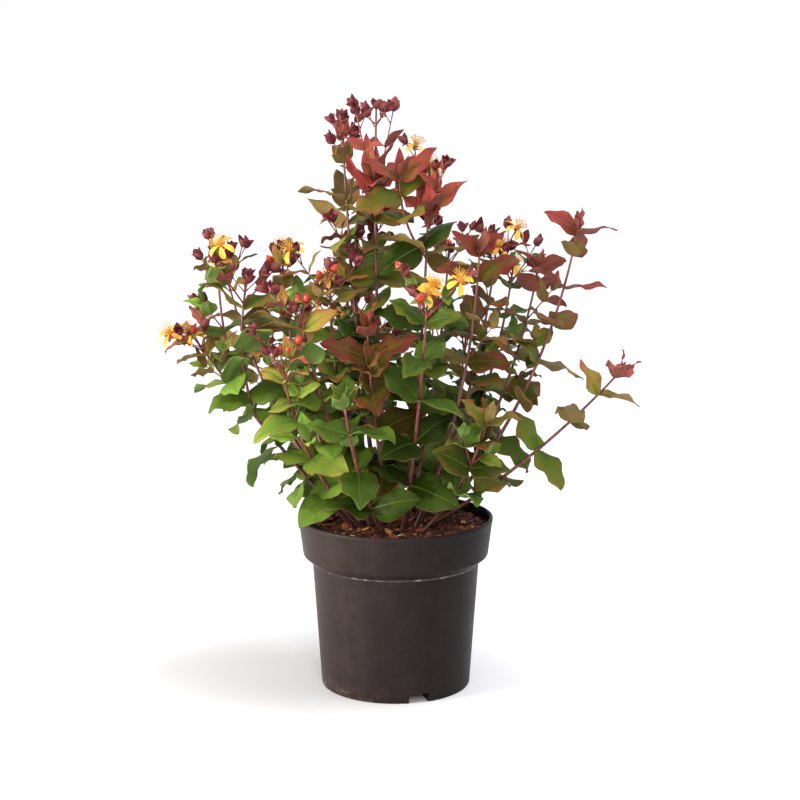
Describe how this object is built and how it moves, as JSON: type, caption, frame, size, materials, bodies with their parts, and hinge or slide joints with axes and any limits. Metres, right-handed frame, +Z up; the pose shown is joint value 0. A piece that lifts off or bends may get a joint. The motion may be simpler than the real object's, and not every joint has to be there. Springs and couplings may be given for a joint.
{
  "type": "potted flowering shrub",
  "caption": "Potted st johns wort: an upright shrub of thin red stems with opposite leaves, yellow flowers and orange-red berries, in a round plant pot with a deep collar.",
  "frame": {"origin": "centre of the pot's flat underside, on the surface that the pot stands on", "axes": "+Z up along the stems; -Y is the front, seen in the picture; +X is the plant's right as seen from the front"},
  "size_m": [0.4519, 0.3513, 0.572],
  "materials": {
    "pot_plastic": "satin",
    "potting_mix": "matte",
    "stem_bark": "satin",
    "leaf_green": "satin",
    "leaf_bronze": "satin",
    "leaf_maroon": "satin",
    "petal": "satin",
    "berry": "gloss",
    "bud": "satin"
  },
  "bodies": {
    "root": {"pot": "pot_plastic", "soil": "potting_mix", "stem_top_main": "stem_bark", "foliage_top_main": "leaf_maroon", "stem_top_fork": "stem_bark", "foliage_top_fork": "leaf_maroon", "stem_top_left": "stem_bark", "foliage_top_left": "leaf_green", "stem_top_right": "stem_bark", "foliage_top_right": "leaf_bronze", "stem_front": "stem_bark", "foliage_front": "leaf_green", "stem_right_inner": "stem_bark", "foliage_right_inner": "leaf_maroon", "stem_right_cluster": "stem_bark", "foliage_right_cluster": "leaf_bronze", "stem_right_mid": "stem_bark", "foliage_right_mid": "leaf_bronze", "stem_right_high": "stem_bark", "foliage_right_high": "leaf_maroon", "stem_right_low": "stem_bark", "foliage_right_low": "leaf_bronze", "stem_left_front": "stem_bark", "foliage_left_front": "leaf_bronze", "stem_left_low": "stem_bark", "foliage_left_low": "leaf_green", "stem_left_back": "stem_bark", "foliage_left_back": "leaf_green", "stem_mid_left": "stem_bark", "foliage_mid_left": "leaf_green", "stem_mid_front": "stem_bark", "foliage_mid_front": "leaf_green", "stem_mid_maroon": "stem_bark", "foliage_mid_maroon": "leaf_maroon", "stem_low_right": "stem_bark", "foliage_low_right": "leaf_bronze", "stem_low_left": "stem_bark", "foliage_low_left": "leaf_green", "stem_back_1": "stem_bark", "foliage_back_1": "leaf_bronze", "stem_back_2": "stem_bark", "foliage_back_2": "leaf_green", "stem_back_3": "stem_bark", "foliage_back_3": "leaf_green", "stem_back_4": "stem_bark", "foliage_back_4": "leaf_bronze", "stem_back_5": "stem_bark", "foliage_back_5": "leaf_green", "stem_back_6": "stem_bark", "foliage_back_6": "leaf_green", "stem_back_7": "stem_bark", "foliage_back_7": "leaf_bronze", "stem_back_8": "stem_bark", "foliage_back_8": "leaf_green", "stem_inner_1": "stem_bark", "foliage_inner_1": "leaf_bronze", "stem_inner_2": "stem_bark", "foliage_inner_2": "leaf_green"}
  },
  "joints": []
}
